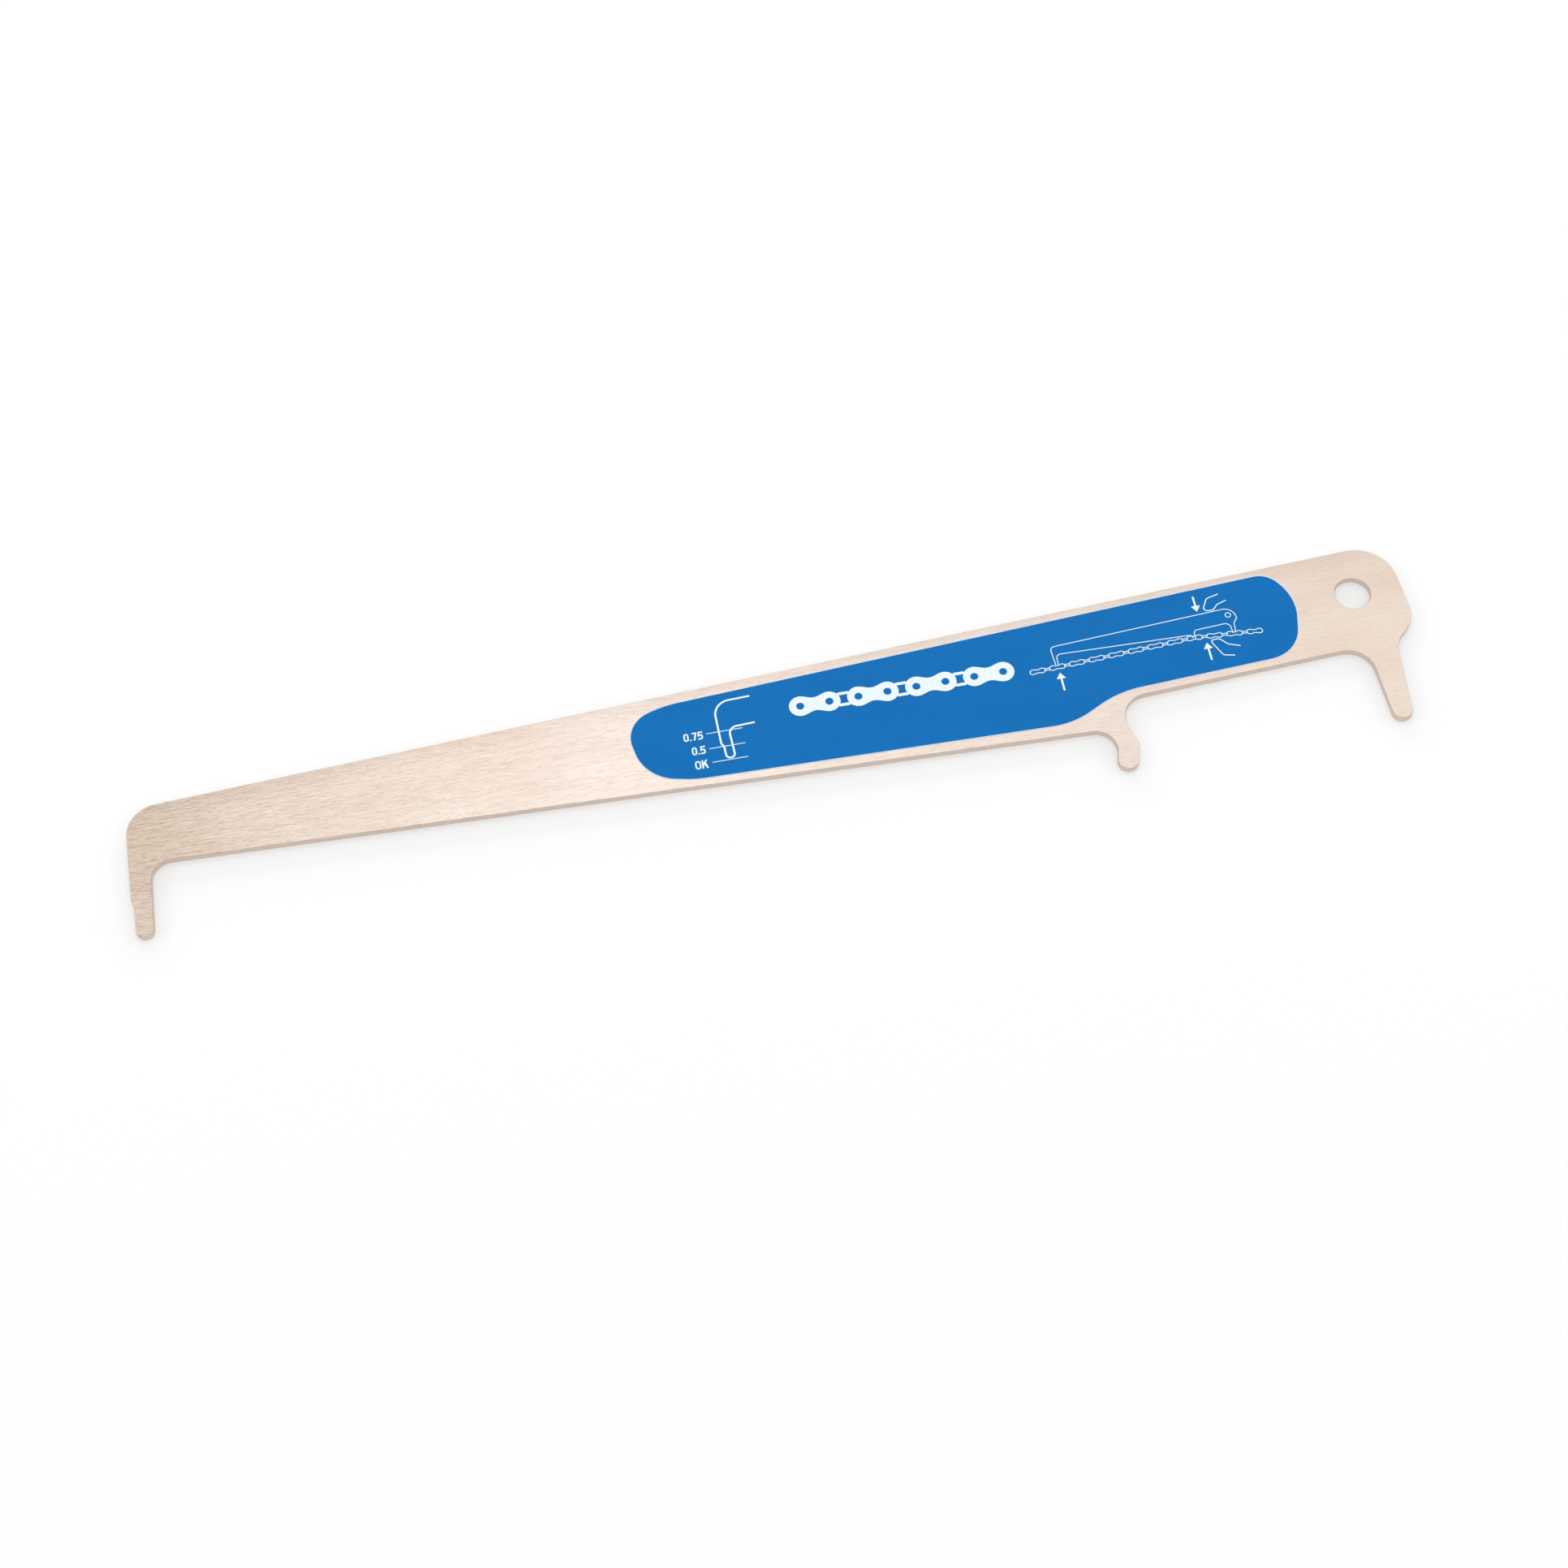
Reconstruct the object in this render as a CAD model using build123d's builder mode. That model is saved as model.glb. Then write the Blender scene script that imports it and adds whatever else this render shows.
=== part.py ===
from build123d import *

import os
from math import cos, radians, sin, tan

# A chain wear gauge: one flat blank of sheet steel with a measuring leg at the left,
# a hook in the middle and a wedge leg at the right, and a film of blue print on its face.
# Drawing coordinates: x = 0 is the hook's bearing edge, y = 0 the line through both leg tips.
# The model's origin is the centre of the hanging hole, on the underside. Sizes in mm.

# Sheet and print
thickness = 1.35
edge_break = 0.12
film_thickness = 0.1

# Roller chain, and the stretch at which each edge of the measuring leg drops in
chain_pitch = 12.7
pitches_gauged = 14
pitches_held = 4
tip_wear = 0.005
shoulder_wear = 0.0075

# Back edge, straight from heel to head
back_height = 35.05
back_slope = 2.75
heel_radius = 5.9

# Legs' widths at their tips, and the least straight run between two rounds
leg_width = 3.25
wedge_width = 3.65
least_flat = 0.3

# Measuring leg
leg_allowance = 0.1
leg_inner_lean = 1.2
shoulder_height = 6.3
shoulder_ramp = 1.3
shoulder_radius = 2.5
root_corner_radius = 0.2
crotch_radius = 3.5

# Belly edge, between the measuring leg and the hook
belly_height = 8.1
belly_slope = 2.2

# Hook
neck_height = 3.9
neck_radius = 1.3
hook_width = 3.85
hook_length = 4.05
hook_lean = 14.75
knee_rise = 1.6
knee_radius = 2.5
hook_root_front = -0.5
hook_front_radius = 3.7
hook_root_back = 1.2
hook_back_radius = 4.9

# Wedge leg
wedge_clearance = 0.1
wedge_inner_lean = 2.1
wedge_outer_lean = 5.25
wedge_root_radius = 4.9
notch_height = 16.0
notch_radius = 5.0

# Head, whose lower edge runs with the back edge from the hook to the wedge leg
head_height = 13.85
head_overhang = 5.3
head_radius = 7.5
cheek_rise = 4.35
cheek_radius = 6.0

# Hanging hole, set in from the head's end and its back edge
hole_diameter = 6.65
hole_end_inset = 8.85
hole_back_inset = 9.5

# Blue film: the bare margins round it, and its two ends
film_tail = -87.6
film_hole_gap = 10.6
margin_back_tail = 2.2
margin_back_head = 1.4
margin_belly_tail = 1.5
margin_belly_head = 2.3
margin_head = 1.6

# Film's tail, a blunt tongue: how far its turns stand in from the plate's edges and its end
tail_back_inset = 8.2
tail_back_radius = 22
tail_drop = 4.2
tail_radius = 5.7
tail_chin_inset = 2.3
tail_chin_rise = 3.2
tail_chin_radius = 8.3
tail_belly_inset = 11.1
tail_belly_radius = 20

# Film's step at the hook
step_inset_front = 6.2
step_inset_back = 1.9
step_radius_front = 15
step_radius_back = 20

# Film's end beside the hole
end_belly_inset = 2.7
end_belly_radius = 7
end_drop = 7.9
end_radius = 10
end_back_inset = 4
end_back_radius = 4.5


def back_edge(x):
    return back_height + x * tan(radians(back_slope))


def belly_edge(x):
    return belly_height - x * tan(radians(belly_slope))


def head_edge(x):
    return head_height + x * tan(radians(back_slope))


def rounds(corners):
    # Each corner's radius, or less where the two sides that meet there have no room for it
    points = [Vector(point) for point, radius in corners]
    count = len(points)
    sides = [points[i] - points[i - 1] for i in range(count)]
    turns = [sides[i].get_angle(sides[(i + 1) % count]) for i in range(count)]
    reach = [corners[i][1] * tan(radians(turns[i]) / 2) for i in range(count)]
    room = [(sides[i].length - least_flat) / (reach[i - 1] + reach[i]) for i in range(count)]
    return [corners[i][1] * min(1, room[i], room[(i + 1) % count]) for i in range(count)]


# Places that follow from the chain
gauged_length = pitches_gauged * chain_pitch
tip_edge = -gauged_length * (1 + tip_wear) - leg_allowance
shoulder_edge = -gauged_length * (1 + shoulder_wear) - leg_allowance
leg_inner = tip_edge + leg_width
leg_root_x = leg_inner + belly_edge(leg_inner) * tan(radians(leg_inner_lean))
wedge_inner = pitches_held * chain_pitch + wedge_clearance
wedge_outer = wedge_inner + wedge_width

# The hook is a finger that leans, with its bearing edge at the neck
along = Vector(sin(radians(hook_lean)), cos(radians(hook_lean)))
across = Vector(cos(radians(hook_lean)), -sin(radians(hook_lean)))
neck = Vector(0, neck_height)
hook_end = neck - along * hook_length
knee = neck + across * hook_width + along * knee_rise
hook_root = Vector(hook_root_back, head_edge(hook_root_back))

# The head's right edge stands square to the back edge, and its cheek above the notch
head_end = wedge_outer + head_overhang
head_corner = Vector(head_end, back_edge(head_end))
cheek_height = notch_height + cheek_rise
cheek = Vector(head_end + (head_corner.Y - cheek_height) * tan(radians(back_slope)), cheek_height)
hole_x = head_end - hole_end_inset
hole_y = back_edge(hole_x) - hole_back_inset

wedge_root_x = wedge_inner - head_edge(wedge_inner) * tan(radians(wedge_inner_lean))

# Blank outline, anticlockwise from the heel: each corner with the radius that rounds it
blank_corners = [
    ((shoulder_edge, back_edge(shoulder_edge)), heel_radius),
    ((shoulder_edge, shoulder_height + shoulder_ramp), shoulder_radius),
    ((tip_edge, shoulder_height), root_corner_radius),
    ((tip_edge, 0), leg_width / 2),
    ((leg_inner, 0), leg_width / 2),
    ((leg_root_x, belly_edge(leg_root_x)), crotch_radius),
    ((hook_root_front, belly_edge(hook_root_front)), hook_front_radius),
    (neck, neck_radius),
    (hook_end, hook_width / 2),
    (hook_end + across * hook_width, hook_width / 2),
    (knee, knee_radius),
    (hook_root, hook_back_radius),
    ((wedge_root_x, head_edge(wedge_root_x)), wedge_root_radius),
    ((wedge_inner, 0), wedge_width / 2),
    ((wedge_outer, 0), wedge_width / 2),
    ((wedge_outer + notch_height * tan(radians(wedge_outer_lean)), notch_height), notch_radius),
    (cheek, cheek_radius),
    (head_corner, head_radius),
]

# Film outline, anticlockwise from the back edge of its tail
film_head = hole_x - film_hole_gap
tail_back = film_tail + tail_back_inset
tail_chin = film_tail + tail_chin_inset
tail_belly = film_tail + tail_belly_inset
step_front = hook_root_front - step_inset_front
step_back = hook_root_back + step_inset_back
end_belly = film_head - end_belly_inset
end_back = film_head - end_back_inset
film_corners = [
    ((tail_back, back_edge(tail_back) - margin_back_tail), tail_back_radius),
    ((film_tail, back_edge(film_tail) - tail_drop), tail_radius),
    ((tail_chin, belly_edge(tail_chin) + tail_chin_rise), tail_chin_radius),
    ((tail_belly, belly_edge(tail_belly) + margin_belly_tail), tail_belly_radius),
    ((step_front, belly_edge(step_front) + margin_belly_head), step_radius_front),
    ((step_back, head_edge(step_back) + margin_head), step_radius_back),
    ((end_belly, head_edge(end_belly) + margin_head), end_belly_radius),
    ((film_head, back_edge(film_head) - end_drop), end_radius),
    ((end_back, back_edge(end_back) - margin_back_head), end_back_radius),
]

# Gauge plate: blanked from sheet, pierced, and its rims broken
with BuildPart() as gauge_plate:
    with BuildSketch(Plane(origin=(-hole_x, -hole_y, 0))):
        with BuildLine():
            FilletPolyline(
                [corner for corner, radius in blank_corners],
                radius=rounds(blank_corners),
                close=True,
            )
        make_face()
        with Locations((hole_x, hole_y)):
            Circle(hole_diameter / 2, mode=Mode.SUBTRACT)
    extrude(amount=thickness)
    faces = gauge_plate.faces().sort_by(Axis.Z)
    chamfer(faces[0].edges() + faces[-1].edges(), length=edge_break)

# Blue film on the upper face
with BuildPart() as blue_film:
    with BuildSketch(Plane(origin=(-hole_x, -hole_y, thickness))):
        with BuildLine():
            FilletPolyline(
                [corner for corner, radius in film_corners],
                radius=rounds(film_corners),
                close=True,
            )
        make_face()
    extrude(amount=film_thickness)

os.makedirs("parts", exist_ok=True)
gauge_plate.part.label = "gauge_plate"
export_step(gauge_plate.part, "parts/gauge_plate.step")
blue_film.part.label = "blue_film"
export_step(blue_film.part, "parts/blue_film.step")
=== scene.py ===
from math import cos, pi, radians, sin, tan

import bpy
import numpy as np
from mathutils import Matrix, Vector


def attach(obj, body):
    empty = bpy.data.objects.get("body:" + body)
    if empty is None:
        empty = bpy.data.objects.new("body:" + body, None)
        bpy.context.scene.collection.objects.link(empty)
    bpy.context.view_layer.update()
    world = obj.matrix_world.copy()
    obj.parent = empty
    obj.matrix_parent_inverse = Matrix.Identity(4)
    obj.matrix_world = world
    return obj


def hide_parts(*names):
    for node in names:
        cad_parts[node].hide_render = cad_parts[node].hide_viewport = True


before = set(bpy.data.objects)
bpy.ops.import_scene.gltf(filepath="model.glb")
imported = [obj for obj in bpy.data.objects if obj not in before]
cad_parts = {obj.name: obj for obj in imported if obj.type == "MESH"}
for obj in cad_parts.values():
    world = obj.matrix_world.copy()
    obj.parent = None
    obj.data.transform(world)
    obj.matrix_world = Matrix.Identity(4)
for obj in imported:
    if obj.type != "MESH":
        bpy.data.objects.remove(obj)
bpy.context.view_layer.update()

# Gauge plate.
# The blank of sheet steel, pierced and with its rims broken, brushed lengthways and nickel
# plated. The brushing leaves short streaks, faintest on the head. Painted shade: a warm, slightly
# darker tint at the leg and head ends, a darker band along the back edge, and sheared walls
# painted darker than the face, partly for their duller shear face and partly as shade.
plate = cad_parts["gauge_plate"]
sheet_thickness = 0.00135
brushing_slope = radians(0.3)


def linear(red, green, blue):
    """Colour written as 0-255 screen values, turned to the linear light that a shader takes:
    a value v of 0-1 is ((v + 0.055) / 1.055) to the power 2.4."""
    v = np.array([red, green, blue]) / 255
    return tuple(((v + 0.055) / 1.055) ** 2.4) + (1.0,)


def new_material(name):
    """Material with a bare Principled shader; returns it with its node list, links and shader."""
    material = bpy.data.materials.new(name)
    material.use_nodes = True
    tree = material.node_tree
    return material, tree.nodes, tree.links, tree.nodes["Principled BSDF"]


def streaks(nodes, links, size, turn=0.0, detail=3.0):
    """Noise on Object coordinates, with grains of about a size in metres: along the sheet, across
    it and through it."""
    place = nodes.new("ShaderNodeTexCoord")
    stretch = nodes.new("ShaderNodeMapping")
    stretch.inputs["Rotation"].default_value = (0, 0, -turn)
    stretch.inputs["Scale"].default_value = [1 / side for side in size]
    noise = nodes.new("ShaderNodeTexNoise")
    noise.inputs["Scale"].default_value = 1.0
    noise.inputs["Detail"].default_value = detail
    noise.inputs["Roughness"].default_value = 0.55
    links.new(place.outputs["Object"], stretch.inputs["Vector"])
    links.new(stretch.outputs["Vector"], noise.inputs["Vector"])
    return noise.outputs["Fac"]


def ramp(nodes, links, value, stops):
    """Colour ramp through (place, colour) stops, driven by a 0-1 value."""
    node = nodes.new("ShaderNodeValToRGB")
    node.color_ramp.elements[0].position = stops[0][0]
    node.color_ramp.elements[0].color = stops[0][1]
    node.color_ramp.elements[1].position = stops[-1][0]
    node.color_ramp.elements[1].color = stops[-1][1]
    for place, colour in stops[1:-1]:
        node.color_ramp.elements.new(place).color = colour
    links.new(value, node.inputs["Fac"])
    return node.outputs["Color"]


def blend_colours(nodes, links, amount, first, second, how="MIX"):
    """Mix node between two colours; amount is a socket or a number."""
    node = nodes.new("ShaderNodeMix")
    node.data_type = "RGBA"
    node.blend_type = how
    for name, value in (("Factor", amount), ("A", first), ("B", second)):
        socket = node.inputs[name]
        if isinstance(value, bpy.types.NodeSocket):
            links.new(value, socket)
        else:
            socket.default_value = value
    return node.outputs["Result"]


def arithmetic(nodes, links, how, first, second=0.0):
    """Math node; each term is a socket or a number."""
    node = nodes.new("ShaderNodeMath")
    node.operation = how
    for socket, value in zip(node.inputs, (first, second)):
        if isinstance(value, bpy.types.NodeSocket):
            links.new(value, socket)
        else:
            socket.default_value = value
    return node.outputs["Value"]


def map_range(nodes, links, value, low, high, new_low, new_high):
    """Value that runs from new_low to new_high as the one given runs from low to high."""
    node = nodes.new("ShaderNodeMapRange")
    limits = {"From Min": low, "From Max": high, "To Min": new_low, "To Max": new_high}
    for name, limit in limits.items():
        node.inputs[name].default_value = limit
    links.new(value, node.inputs["Value"])
    return node.outputs["Result"]


nickel, nodes, links, shader = new_material("brushed_nickel")
fine_size = (0.0012, 0.0002, 0.0002)
long_size = (0.0037, 0.00024, 0.00024)
patch_size = (0.03, 0.012, 0.012)
fine = streaks(nodes, links, fine_size, brushing_slope)
long_marks = streaks(nodes, links, long_size, brushing_slope, detail=1.5)
patches = streaks(nodes, links, patch_size, brushing_slope, detail=1.0)
long_share = 0.7
long_part = arithmetic(nodes, links, "MULTIPLY", long_marks, long_share)
grain = arithmetic(nodes, links, "ADD", fine, long_part)
spot = nodes.new("ShaderNodeTexCoord")
along = nodes.new("ShaderNodeSeparateXYZ")
links.new(spot.outputs["Object"], along.inputs["Vector"])
leg_x, head_x = -0.23, 0.01
run = map_range(nodes, links, along.outputs["X"], leg_x, head_x, 0.0, 1.0)
leg_depth, head_depth = 0.8, 0.24
depth = map_range(nodes, links, arithmetic(nodes, links, "SQRT", run), 0.0, 1.0, leg_depth, head_depth)
grain_middle, ramp_middle = 0.85, 0.5
off_middle = arithmetic(nodes, links, "SUBTRACT", grain, grain_middle)
swing_of_grain = arithmetic(nodes, links, "MULTIPLY", off_middle, depth)
tone = arithmetic(nodes, links, "ADD", swing_of_grain, ramp_middle)
groove, plating, crest = linear(186, 169, 156), linear(235, 222, 212), linear(255, 249, 243)
face = ramp(nodes, links, tone, [(0.2, groove), (ramp_middle, plating), (0.8, crest)])
warm = ramp(nodes, links, patches, [(0.35, linear(250, 246, 243)), (0.65, linear(255, 255, 255))])
# Painted shade: a warm, slightly darker tint toward the leg and the head end, where the sheet gets less
# light, and white through the middle.
painted_shade_tint = ramp(nodes, links, run, [(0.0, linear(255, 249, 240)), (0.38, linear(255, 255, 255)),
                                 (0.8, linear(255, 255, 254)), (1.0, linear(255, 251, 245))])
# The back edge lies at Y = back_middle + back_rise times X, and a band of painted shade, darker toward the
# edge, runs inward from it.
back_rise, back_middle, back_shade_band = 0.0481, 0.00954, 0.0045
climb = arithmetic(nodes, links, "MULTIPLY", along.outputs["X"], back_rise)
back_edge = arithmetic(nodes, links, "ADD", climb, back_middle)
inward = arithmetic(nodes, links, "SUBTRACT", back_edge, along.outputs["Y"])
from_back = map_range(nodes, links, inward, 0.0, back_shade_band, 0.0, 1.0)
painted_back_shade = ramp(nodes, links, from_back, [(0.0, linear(244, 243, 242)), (1.0, linear(255, 255, 255))])
face = blend_colours(nodes, links, 1.0, face, warm, "MULTIPLY")
face = blend_colours(nodes, links, 1.0, face, painted_shade_tint, "MULTIPLY")
face = blend_colours(nodes, links, 1.0, face, painted_back_shade, "MULTIPLY")
lie = nodes.new("ShaderNodeNewGeometry")
upright = nodes.new("ShaderNodeSeparateXYZ")
links.new(lie.outputs["Normal"], upright.inputs["Vector"])
flatness = arithmetic(nodes, links, "ABSOLUTE", upright.outputs["Z"])
wall_limit = 0.35
wall = arithmetic(nodes, links, "LESS_THAN", flatness, wall_limit)
shear_size = (0.00025, 0.00025, 0.002)
shear_marks = streaks(nodes, links, shear_size)
# The walls get a darker colour than the face: partly their own duller shear face, partly painted shade.
shear_and_painted_shade = ramp(nodes, links, shear_marks, [(0.3, linear(215, 198, 185)), (0.7, linear(227, 210, 197))])
links.new(blend_colours(nodes, links, wall, face, shear_and_painted_shade), shader.inputs["Base Color"])
shader.inputs["Metallic"].default_value = 1.0
least_rough, most_rough = 0.27, 0.37
links.new(map_range(nodes, links, fine, 0.0, 1.0, least_rough, most_rough), shader.inputs["Roughness"])
scratches = nodes.new("ShaderNodeBump")
scratches.inputs["Strength"].default_value = 0.12
scratches.inputs["Distance"].default_value = 0.00002
links.new(fine, scratches.inputs["Height"])
links.new(scratches.outputs["Normal"], shader.inputs["Normal"])
for place in range(len(plate.material_slots)):
    plate.material_slots[place].link = "DATA"
    plate.data.materials[place] = nickel

# Blue film.
# Screen-printed ink on the upper face: a white ground a hair wider than the blue coat that
# lies on it, so a thin pale line shows all round. It follows the blade and steps up at the hook.
hole = np.array([51.0, 28.0])
back_height, belly_height, throat_height = 35.05, 8.1, 13.85
back_slope = tan(radians(2.75))
belly_slope = tan(radians(2.2))
film_tail, film_head = -87.6, 40.4
# The print is drawn in millimetres, x from the hook's bearing edge and y from the legs' tips, and
# the hanging hole's centre is the model's origin. A corner is x, y and a radius, and its y is set
# in from the back, the belly or the throat of the sheet.
film_corners = [
    (film_tail + 8.2, back_height + (film_tail + 8.2) * back_slope - 2.2, 22),
    (film_tail, back_height + film_tail * back_slope - 4.2, 5.7),
    (film_tail + 2.3, belly_height - (film_tail + 2.3) * belly_slope + 3.2, 8.3),
    (film_tail + 11.1, belly_height - (film_tail + 11.1) * belly_slope + 1.5, 20),
    (-6.7, belly_height + 6.7 * belly_slope + 2.3, 15),
    (3.1, throat_height + 3.1 * back_slope + 1.6, 20),
    (film_head - 2.7, throat_height + (film_head - 2.7) * back_slope + 1.6, 7),
    (film_head, back_height + film_head * back_slope - 7.9, 10),
    (film_head - 4, back_height + (film_head - 4) * back_slope - 1.4, 4.5),
]
film_foot = sheet_thickness
ground_top = sheet_thickness + 0.00006
film_top = sheet_thickness + 0.000085
print_top = sheet_thickness + 0.0001


def rounded_outline(corners, steps=14):
    """Closed outline with its corners rounded. The arc at a corner starts the radius times
    tan(half the turn) before it, its centre stands square off that point by the radius,
    and its points turn about that centre in even steps from one side to the next."""
    corners = np.asarray(corners, float)
    points, radius = corners[:, :2], corners[:, 2:]
    into = points - np.roll(points, 1, axis=0)
    out = np.roll(points, -1, axis=0) - points
    into /= np.linalg.norm(into, axis=1, keepdims=True)
    out /= np.linalg.norm(out, axis=1, keepdims=True)
    turn = np.arctan2(into[:, 0] * out[:, 1] - into[:, 1] * out[:, 0], (into * out).sum(axis=1))[:, None]
    square = np.column_stack([-into[:, 1], into[:, 0]]) * np.sign(turn)
    start = points - into * radius * np.tan(np.abs(turn) / 2)
    centre = start + square * radius
    angle = turn * np.linspace(0, 1, steps)[None, :]
    arm = (start - centre)[:, None, :]
    swung = np.stack([arm[..., 0] * np.cos(angle) - arm[..., 1] * np.sin(angle),
                      arm[..., 0] * np.sin(angle) + arm[..., 1] * np.cos(angle)], axis=2)
    return (centre[:, None, :] + swung).reshape(-1, 2)


def outward(outline):
    """Unit vectors square to a closed outline that runs anticlockwise, pointing out of it:
    the chord from the point before to the point after, turned a quarter clockwise."""
    chord = np.roll(outline, -1, axis=0) - np.roll(outline, 1, axis=0)
    chord /= np.linalg.norm(chord, axis=1, keepdims=True)
    return np.column_stack([chord[:, 1], -chord[:, 0]])


def make_piece(name, points, faces, material, slot):
    """Mesh object from an array of points in metres and a list of faces, riding on the plate."""
    mesh = bpy.data.meshes.new(name)
    mesh.from_pydata(points.tolist(), [], faces)
    mesh.materials.append(material)
    mesh.update()
    piece = bpy.data.objects.new(name, mesh)
    bpy.context.scene.collection.objects.link(piece)
    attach(piece, "root")
    return piece


def layer(outline, foot, top, grow=0.0, soften=0.00003):
    """Thin flat layer over an outline in millimetres, moved out by grow: rings at the foot and
    near the top with that outline, and one at the top drawn in by soften, closed by two faces."""
    away = outward(outline)
    rim = (outline - hole) / 1000 + away * grow
    rings = [(rim, foot), (rim, top - soften), (rim - away * soften, top)]
    count = len(outline)
    points = np.concatenate([np.column_stack([ring, np.full(count, height)]) for ring, height in rings])
    lower = np.arange(2 * count).reshape(2, count)
    after = np.roll(lower, -1, axis=1)
    sides = np.stack([lower, after, after + count, lower + count], axis=2).reshape(-1, 4).tolist()
    caps = [list(range(2 * count, 3 * count)), list(range(count))[::-1]]
    return points, sides + caps


ground_ink, nodes, links, shader = new_material("white_ground_ink")
worn = streaks(nodes, links, (0.0006, 0.0006, 0.0006))
pale = ramp(nodes, links, worn, [(0.3, linear(212, 222, 240)), (0.7, linear(230, 238, 248))])
links.new(pale, shader.inputs["Base Color"])
shader.inputs["Roughness"].default_value = 0.45

blue_ink, nodes, links, shader = new_material("blue_ink")
mottle = streaks(nodes, links, (0.012, 0.007, 0.007))
tooth = streaks(nodes, links, (0.0004, 0.0004, 0.0004))
blue = ramp(nodes, links, mottle, [(0.3, linear(12, 111, 184)), (0.7, linear(14, 114, 188))])
links.new(blue, shader.inputs["Base Color"])
least_rough, most_rough = 0.42, 0.52
links.new(map_range(nodes, links, tooth, 0.0, 1.0, least_rough, most_rough), shader.inputs["Roughness"])
shader.inputs["Specular IOR Level"].default_value = 0.1
orange_peel = nodes.new("ShaderNodeBump")
orange_peel.inputs["Strength"].default_value = 0.08
orange_peel.inputs["Distance"].default_value = 0.00002
links.new(tooth, orange_peel.inputs["Height"])
links.new(orange_peel.outputs["Normal"], shader.inputs["Normal"])

film_outline = rounded_outline(film_corners)
ground_margin = 0.00018
wider_layer = layer(film_outline, film_foot, ground_top, grow=ground_margin)
make_piece("white_ground", *wider_layer, ground_ink, "blue_film")
film = make_piece("blue_coat", *layer(film_outline, ground_top, film_top), blue_ink, "blue_film")
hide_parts("blue_film")

# Measuring leg's scale.
# White ink on the blue at the film's tail: the outline of the measuring leg, and three lines
# across it with their plain figures, which show how far the leg drops into a worn chain.
white_ink, nodes, links, shader = new_material("white_ink")
tooth = streaks(nodes, links, (0.0005, 0.0005, 0.0005))
white = ramp(nodes, links, tooth, [(0.3, linear(231, 247, 252)), (0.7, linear(245, 254, 255))])
links.new(white, shader.inputs["Base Color"])
shader.inputs["Roughness"].default_value = 0.5
ink_foot = film_top - 0.000005
# Where two lines cross, one is a step lower than the other, so that their tops don't coincide.
step_down = 0.000003
second_top, third_top = print_top - step_down, print_top - 2 * step_down


def stroke(path, width, closed=False, blunt=False, top=print_top):
    """Printed line of even width along a path in millimetres. At each point the two edges stand
    half the width to the left and right along the mean of the two sides' normals, drawn out by
    one over its length so that corners keep the width. Each open end is round, unless it is
    blunt: extra points run on by the sine of even angles, where the half width shrinks to their
    cosine."""
    path = np.asarray(path, float)
    half = np.full((len(path), 1), width / 2)
    if not closed and not blunt:
        angle = np.radians([25, 50, 75])[:, None]
        first, last = path[0] - path[1], path[-1] - path[-2]
        first, last = first / np.linalg.norm(first), last / np.linalg.norm(last)
        path = np.concatenate([path[0] + np.sin(angle[::-1]) * first * width / 2, path,
                               path[-1] + np.sin(angle) * last * width / 2])
        half = np.concatenate([np.cos(angle[::-1]) * width / 2, half, np.cos(angle) * width / 2])
    if closed:
        into = path - np.roll(path, 1, axis=0)
        out = np.roll(path, -1, axis=0) - path
    else:
        runs = np.diff(path, axis=0)
        into = np.concatenate([runs[:1], runs])
        out = np.concatenate([runs, runs[-1:]])
    into /= np.linalg.norm(into, axis=1, keepdims=True)
    out /= np.linalg.norm(out, axis=1, keepdims=True)
    mean = (into + out) / 2
    left = np.column_stack([-mean[:, 1], mean[:, 0]]) / (mean ** 2).sum(axis=1, keepdims=True) * half
    count = len(path)
    section = [(path + left, top), (path - left, top), (path - left, ink_foot), (path + left, ink_foot)]
    points = np.stack([np.column_stack([(edge - hole) / 1000, np.full(count, height)])
                       for edge, height in section], axis=1).reshape(-1, 3)
    here = np.arange(count if closed else count - 1)[:, None] * 4
    there = (here + 4) % (4 * count)
    side = np.arange(4)[None, :]
    faces = np.stack([here + side, there + side, there + (side + 1) % 4, here + (side + 1) % 4], axis=2)
    faces = faces.reshape(-1, 4)[:, ::-1].tolist()
    if not closed:
        last = 4 * (count - 1)
        faces += [[3, 2, 1, 0], [last, last + 1, last + 2, last + 3]]
    return points, faces


def patch(outline, top=print_top):
    """Printed solid shape over an anticlockwise outline in millimetres: two flat faces and its sides."""
    outline = np.asarray(outline, float)
    count = len(outline)
    flat = (outline - hole) / 1000
    points = np.concatenate([np.column_stack([flat, np.full(count, ink_foot)]),
                             np.column_stack([flat, np.full(count, top)])])
    lower = np.arange(count)
    after = np.roll(lower, -1)
    sides = np.stack([lower, after, after + count, lower + count], axis=1).tolist()
    return points, sides + [list(range(count, 2 * count)), list(range(count))[::-1]]


def gather(shapes):
    """Several shapes in one: their points in a row, and each face's numbers moved up to match."""
    starts = np.cumsum([0] + [len(points) for points, faces in shapes[:-1]])
    points = np.concatenate([points for points, faces in shapes])
    faces = [[number + int(start) for number in face]
             for start, (_, group) in zip(starts, shapes) for face in group]
    return points, faces


def rounded_path(corners, steps=8):
    """Open path with its inner corners rounded as rounded_outline does, between its two ends."""
    corners = np.asarray(corners, float)
    arcs = rounded_outline(corners, steps).reshape(len(corners), steps, 2)
    return np.concatenate([corners[:1, :2], arcs[1:-1].reshape(-1, 2), corners[-1:, :2]])


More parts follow.
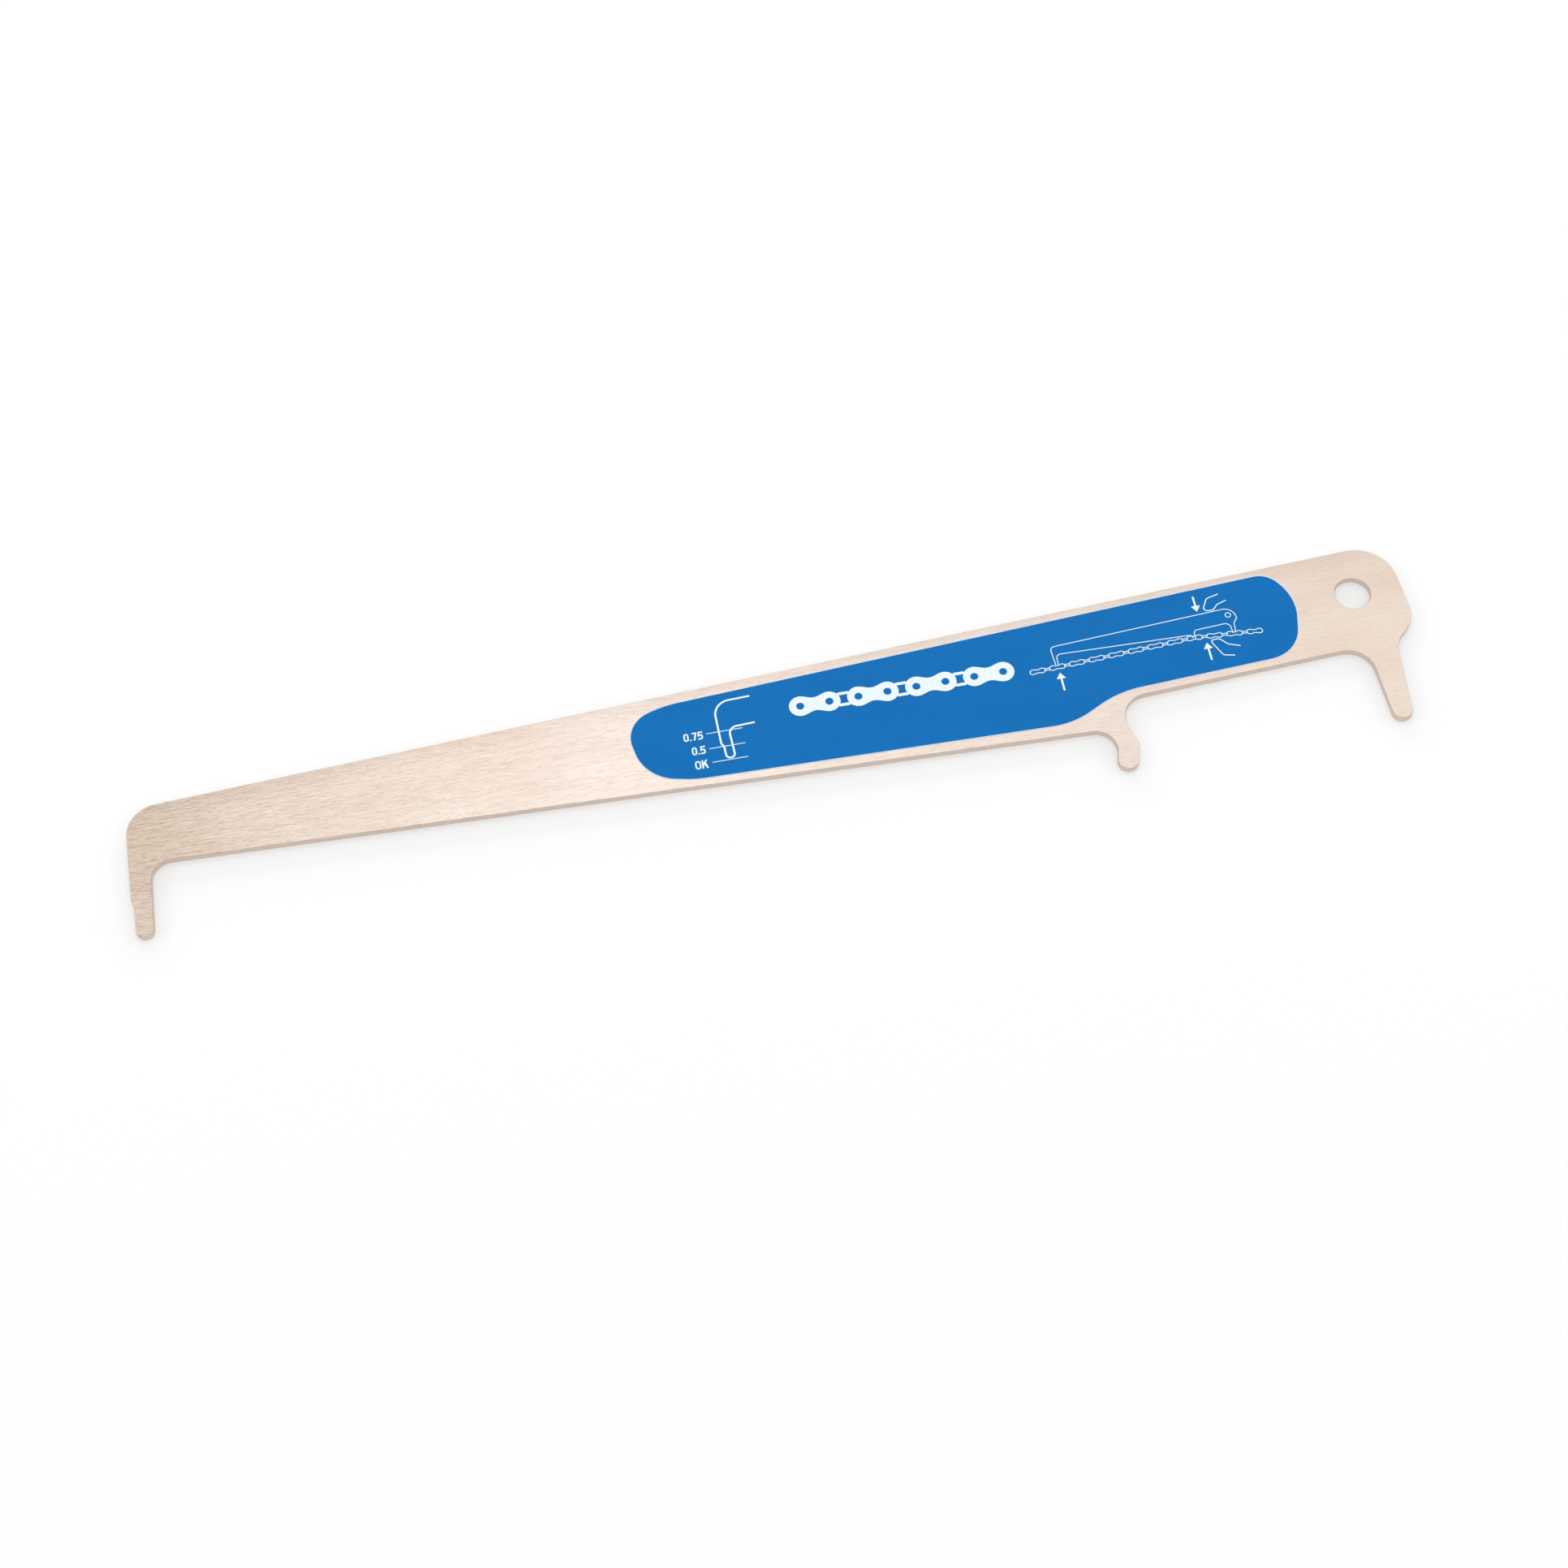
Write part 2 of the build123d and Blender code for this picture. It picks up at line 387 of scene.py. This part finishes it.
leg_line = rounded_path([(-63.95, 28.03, 0), (-70.7, 27.83, 3.0), (-70.6, 18.95, 0.5),
                         (-70.2, 18.35, 0.5), (-70.1, 15.78, 0.75), (-68.5, 15.78, 0.75),
                         (-68.75, 22.1, 1.5), (-63.95, 22.3, 0)], steps=14)
leader_starts = ((-72.95, 21.57), (-72.85, 18.33), (-72.78, 15.4))
leader_end = -66.3
leaders = [((left, height), (leader_end, height)) for left, height in leader_starts]
leg_width, leader_width = 0.36, 0.145
crossing = [stroke(line, leader_width, top=second_top) for line in leaders]
make_piece("leg_scale", *gather([stroke(leg_line, leg_width)] + crossing), white_ink, "blue_film")
sign_widths = {"0": 0.95, ".": 0.3, "5": 0.93, "7": 0.9, "O": 1.1, "K": 1.14}
sign_gap = 0.16
bold = 0.285


def sign_shape(sign, left, foot, height):
    """Printed character with its lower left corner at a point in millimetres. The round ones are a
    bold line along a path that stands half the line's width inside the character's box. The
    others are patches, whose outlines are set off from the box's sides by shares and by the
    line's width."""
    width = sign_widths[sign]
    across, up = width - bold, height - bold
    if sign in "0O":
        box = [(0, 0), (across, 0), (across, up), (0, up)]
        path = rounded_outline([(x, y, 0.48 * across) for x, y in box], 10)
        return stroke(path + (left + bold / 2, foot + bold / 2), bold, closed=True)
    if sign == "5":
        bowl = rounded_path([(0, 0.5 * up, 0), (across, 0.64 * up, 0.24),
                             (across, 0, 0.28), (-bold / 2, 0, 0)])
        path = np.concatenate([[(across + bold / 2, up), (0.04, up)], bowl])
        return stroke(path + (left + bold / 2, foot + bold / 2), bold, blunt=True)
    if sign == "7":
        outline = [(0.2 * width, 0), (0.2 * width + 1.1 * bold, 0), (width, height - 0.9 * bold),
                   (width, height), (0, height), (0, height - bold),
                   (width - 1.15 * bold, height - bold)]
    if sign == "K":
        outline = [(0, 0), (bold, 0), (bold, 0.3 * height), (0.43 * width, 0.44 * height),
                   (width - 1.2 * bold, 0), (width, 0), (0.67 * width, 0.69 * height),
                   (0.97 * width, height), (0.97 * width - 1.2 * bold, height),
                   (bold, 0.67 * height), (bold, height), (0, height)]
    if sign == ".":
        outline = [(0, 0), (bold, 0), (bold, bold), (0, bold)]
    return patch(np.array(outline) + (left, foot))


def figures(name, signs, foot, height, right=-73.64):
    """Row of characters, a gap apart, that ends flush right and stands on a foot line."""
    widths = np.array([sign_widths[sign] for sign in signs])
    lefts = right - np.cumsum((widths + sign_gap)[::-1])[::-1] + sign_gap
    shapes = [sign_shape(sign, left, foot, height) for sign, left in zip(signs, lefts)]
    return make_piece(name, *gather(shapes), white_ink, "blue_film")


figures("figure_075", "0.75", foot=20.6, height=1.66)
figures("figure_05", "0.5", foot=17.5, height=1.66)
figures("figure_ok", "OK", foot=14.43, height=1.76)

# Chain strip.
# White ink in the middle of the film: a plain row of roller-chain links, with solid outer
# plates, open inner links between them, and a blue dot for each pin.
strip_pitch = 5.45
strip_left, strip_height = -55.0, 24.0
strip_pins, pin_radius = 8, 0.75
plate_end, plate_waist = 2.1, 1.4
inner_start, inner_rise, inner_width = 1.9, 1.2, 0.6


def link_outline(left, right, height, end_radius, waist_radius, steps=10):
    """Outline of a link plate between two pins: an arc round each pin, from one waist to the other,
    and along each long side the sag of a half cosine from the end radius in to the waist radius."""
    round_angle = np.linspace(-pi / 2, pi / 2, steps)
    reach, rise = end_radius * np.cos(round_angle), end_radius * np.sin(round_angle)
    right_end = np.column_stack([right + reach, height + rise])
    left_end = np.column_stack([left - reach, height - rise])
    share = np.linspace(0, 1, steps + 2)[1:-1]
    sag = end_radius - (end_radius - waist_radius) * (1 - np.cos(2 * pi * share)) / 2
    upper = np.column_stack([right + (left - right) * share, height + sag])
    lower = np.column_stack([left + (right - left) * share, height - sag])
    return np.concatenate([right_end, upper, left_end, lower])


def ring(x, y, radius, steps=20):
    """Circle, anticlockwise: its points stand a radius from the centre at even angles."""
    angle = np.arange(steps) * 2 * pi / steps
    return np.column_stack([x + radius * np.cos(angle), y + radius * np.sin(angle)])


pins = strip_left + strip_pitch * np.arange(strip_pins)
outer_plates = [patch(link_outline(pin, pin + strip_pitch, strip_height, plate_end, plate_waist), second_top)
                for pin in pins[::2]]
inner_runs = [stroke([(pin + inner_start, strip_height + side * inner_rise),
                      (pin + strip_pitch - inner_start, strip_height + side * inner_rise)], inner_width)
              for pin in pins[1:-1:2] for side in (-1, 1)]
pin_dots = [patch(ring(pin, strip_height, pin_radius)) for pin in pins]
make_piece("chain_strip", *gather(outer_plates + inner_runs), white_ink, "blue_film")
make_piece("chain_strip_pins", *gather(pin_dots), blue_ink, "blue_film")

# Picture of use.
# White ink at the film's head: the gauge laid on a chain, drawn small, with arrows where
# it is pressed down and the chain held up, and two plain fingertips.
small = 0.1485
lean = radians(0.47)
gauge_corner = np.array([19.3, 23.7])
fine_line, finger_line = 0.16, 0.2
chain_pitch, first_link, link_count = 12.7, -10.6, 12
small_end, small_waist = 0.5, 0.33
join_start, join_end_rise, join_middle_rise = 1.45, 0.25, 0.17


def drawn_small(corners):
    """The gauge's own outline corners, shrunk, turned slightly and set on the small chain."""
    corners = np.asarray(corners, float)
    flat = corners[:, :2] * small
    turned = np.column_stack([flat[:, 0] * cos(lean) - flat[:, 1] * sin(lean),
                              flat[:, 0] * sin(lean) + flat[:, 1] * cos(lean)])
    return np.column_stack([turned + gauge_corner, corners[:, 2] * small])


def on_chain(path):
    """Path drawn about the small chain's middle line, lifted onto it: the line climbs evenly to
    the place where it is held up, and falls evenly past it."""
    path = np.asarray(path, float)
    held_x, held_y, climb, fall = 19.5, 24.25, 0.049, 0.07
    past = path[:, 0] - held_x
    return path + np.column_stack([np.zeros(len(path)), held_y + np.minimum(climb * past, -fall * past)])


belly_line = rounded_path(drawn_small([(-173.7, 0.5, 0), (-173.5, 14.7, 6), (-0.5, 8.1, 4), (0, 4, 0)]))
back_line = rounded_path(drawn_small([(-177, 0.5, 0), (-178.6, 26.5, 6), (60.5, 38, 14),
                                      (61, 20.5, 5), (56, 15.5, 4), (54.6, 1, 0)]))
throat_line = rounded_path(drawn_small([(3, 2, 0), (3.3, 14, 5), (50.3, 16.3, 7), (50.9, 1, 0)]))
small_hole = stroke(ring(26.91, 27.88, radius=0.5), fine_line, closed=True)
link_step = 2 * chain_pitch * small
link_middles = first_link + link_step * np.arange(link_count)
link_paths = [link_outline(x - link_step / 4, x + link_step / 4, 0, small_end, small_waist, steps=8)
              for x in link_middles]
small_links = [stroke(on_chain(path), fine_line, closed=True, top=second_top) for path in link_paths]
join_paths = [[(x + join_start, side * join_end_rise), (x + link_step / 2, side * join_middle_rise),
               (x + link_step - join_start, side * join_end_rise)]
              for x in link_middles[:-1] for side in (-1, 1)]
joins = [stroke(on_chain(path), fine_line, top=third_top) for path in join_paths]


def arrow(x, tip, tail, width=1.75, head=1.3, stem=0.36):
    """Upright arrow from tail to tip: a triangle as wide as width on a narrow stem."""
    way = np.sign(tip - tail)
    neck = tip - way * head
    right = [(x + stem / 2, tail), (x + stem / 2, neck), (x + width / 2, neck)]
    left = [(x - width / 2, neck), (x - stem / 2, neck), (x - stem / 2, tail)]
    outline = np.array(right + [(x, tip)] + left)
    return patch(outline if way > 0 else outline[::-1])


arrows = [arrow(-6.65, tip=21.7, tail=17.8), arrow(21.5, tip=22.7, tail=18.9),
          arrow(21.5, tip=29.7, tail=33.1)]
upper_finger = rounded_path([(27.3, 31.1, 0), (25.6, 30.6, 0.5), (24.5, 29.5, 0.7),
                             (22.5, 29.6, 0.6), (23.9, 32.2, 0.9), (26.2, 32.75, 0)])
lower_finger = rounded_path([(27.4, 20.9, 0), (25.3, 21.7, 0.5), (24.0, 23.15, 0.7),
                             (22.2, 23.15, 0.5), (23.9, 19.5, 0.9), (25.9, 19.1, 0)])
small_gauge = [stroke(line, fine_line) for line in (belly_line, back_line, throat_line)] + [small_hole]
fingers = [stroke(line, finger_line, top=third_top) for line in (upper_finger, lower_finger)]
use_picture = small_gauge + fingers + small_links + joins + arrows
make_piece("use_picture", *gather(use_picture), white_ink, "blue_film")

# Floor.
# A plain pale floor that carries the gauge's soft shadow; the camera and the metal see it
# as white, and nothing else is lit by that. Far off, where the lamps' light gives out, the
# lift is stronger.
floor_half = 4
floor_corners = [(x * floor_half, y * floor_half, 0) for x, y in ((-1, -1), (1, -1), (1, 1), (-1, 1))]
floor_mesh = bpy.data.meshes.new("floor")
floor_mesh.from_pydata(floor_corners, [], [(0, 1, 2, 3)])
floor = bpy.data.objects.new("floor", floor_mesh)
bpy.context.scene.collection.objects.link(floor)
pale_floor, nodes, links, shader = new_material("pale_floor")
shader.inputs["Base Color"].default_value = (0.72, 0.72, 0.72, 1.0)
shader.inputs["Roughness"].default_value = 1.0
shader.inputs["Specular IOR Level"].default_value = 0.0
seen = nodes.new("ShaderNodeLightPath")
lift = arithmetic(nodes, links, "MAXIMUM", seen.outputs["Is Camera Ray"], seen.outputs["Is Glossy Ray"])
shader.inputs["Emission Color"].default_value = (1.0, 1.0, 1.0, 1.0)
gauge_middle = Vector((-0.11, 0.0, 0.0))
spot = nodes.new("ShaderNodeTexCoord")
distance_off = nodes.new("ShaderNodeVectorMath")
distance_off.operation = "DISTANCE"
distance_off.inputs[1].default_value = gauge_middle
links.new(spot.outputs["Object"], distance_off.inputs[0])
near, far, near_lift, far_lift = 0.25, 1.5, 0.292, 0.57
strength = map_range(nodes, links, distance_off.outputs["Value"], near, far, near_lift, far_lift)
links.new(arithmetic(nodes, links, "MULTIPLY", lift, strength), shader.inputs["Emission Strength"])
floor_mesh.materials.append(pale_floor)

# Light.
# A white room that lights from every side, a soft lamp overhead, long low lamps behind and
# at both ends that only draw faint shadows and aren't mirrored, and two dim broad ones that
# the sheet mirrors.
world = bpy.data.worlds.new("white_room")
world.use_nodes = True
nodes, links = world.node_tree.nodes, world.node_tree.links
room = nodes["Background"]
room.inputs["Color"].default_value = (1.0, 1.0, 1.0, 1.0)
seen = nodes.new("ShaderNodeLightPath")
room_level, white_level, mirrored_level = 0.62, 1.0, 0.62
to_eye = arithmetic(nodes, links, "MULTIPLY", seen.outputs["Is Camera Ray"], white_level - room_level)
to_metal = arithmetic(nodes, links, "MULTIPLY", seen.outputs["Is Glossy Ray"], mirrored_level - room_level)
raised = arithmetic(nodes, links, "ADD", to_eye, to_metal)
links.new(arithmetic(nodes, links, "ADD", raised, room_level), room.inputs["Strength"])
bpy.context.scene.world = world


def soft_lamp(name, place, width, depth, power, mirrored=True):
    """Rectangular lamp at a point, turned to face the middle of the gauge."""
    data = bpy.data.lights.new(name, "AREA")
    data.shape = "RECTANGLE"
    data.size, data.size_y, data.energy = width, depth, power
    lamp = bpy.data.objects.new(name, data)
    bpy.context.scene.collection.objects.link(lamp)
    place = Vector(place)
    facing = (place - gauge_middle).to_track_quat("Z", "Y").to_matrix().to_4x4()
    lamp.matrix_world = Matrix.Translation(place) @ facing
    lamp.visible_glossy = mirrored


soft_lamp("overhead_lamp", (-0.11, -0.45, 1.1), width=1.4, depth=0.8, power=1.8)
soft_lamp("back_lamp", (-0.11, 1.1, 0.22), width=1.6, depth=0.3, power=8.0, mirrored=False)
soft_lamp("left_lamp", (-1.2, 0.1, 0.3), width=1.6, depth=0.6, power=3.6, mirrored=False)
soft_lamp("right_lamp", (1.0, 0.1, 0.3), width=1.6, depth=0.6, power=3.6, mirrored=False)
soft_lamp("sheet_lamp", (0.07, 0.4, 0.85), width=0.86, depth=0.6, power=0.9)
soft_lamp("blade_lamp", (-0.19, 0.4, 0.85), width=0.34, depth=0.6, power=0.15)

# Camera.
# It stands half a metre off, in front of the gauge's lower edge and looking down at about
# sixty degrees, turned a little about its own axis. Its focal length is 3358.2 pixels of a
# frame 1932 pixels wide, written for a sensor of 36 mm.
camera_data = bpy.data.cameras.new("camera")
camera_data.sensor_width = 36.0
camera_data.lens = 3358.2 / 1932 * 36
camera_data.clip_start = 0.01
camera = bpy.data.objects.new("camera", camera_data)
bpy.context.scene.collection.objects.link(camera)
swing = radians(7.905)
tilt = radians(60.437)
roll = radians(-2.927)
distance = 0.49318
aim = Vector((-0.1119, -0.01953, sheet_thickness))
right = Vector((cos(swing), -sin(swing), 0))
ahead_level = Vector((sin(swing), cos(swing), 0))
backwards = -(ahead_level * cos(tilt) - Vector((0, 0, sin(tilt))))
up = ahead_level * sin(tilt) + Vector((0, 0, cos(tilt)))
rolled_right = right * cos(roll) + up * sin(roll)
rolled_up = up * cos(roll) - right * sin(roll)
turned = Matrix([rolled_right, rolled_up, backwards]).transposed().to_4x4()
camera.matrix_world = Matrix.Translation(aim + backwards * distance) @ turned
bpy.context.scene.camera = camera
bpy.context.scene.view_settings.view_transform = "Standard"

bpy.context.view_layer.update()
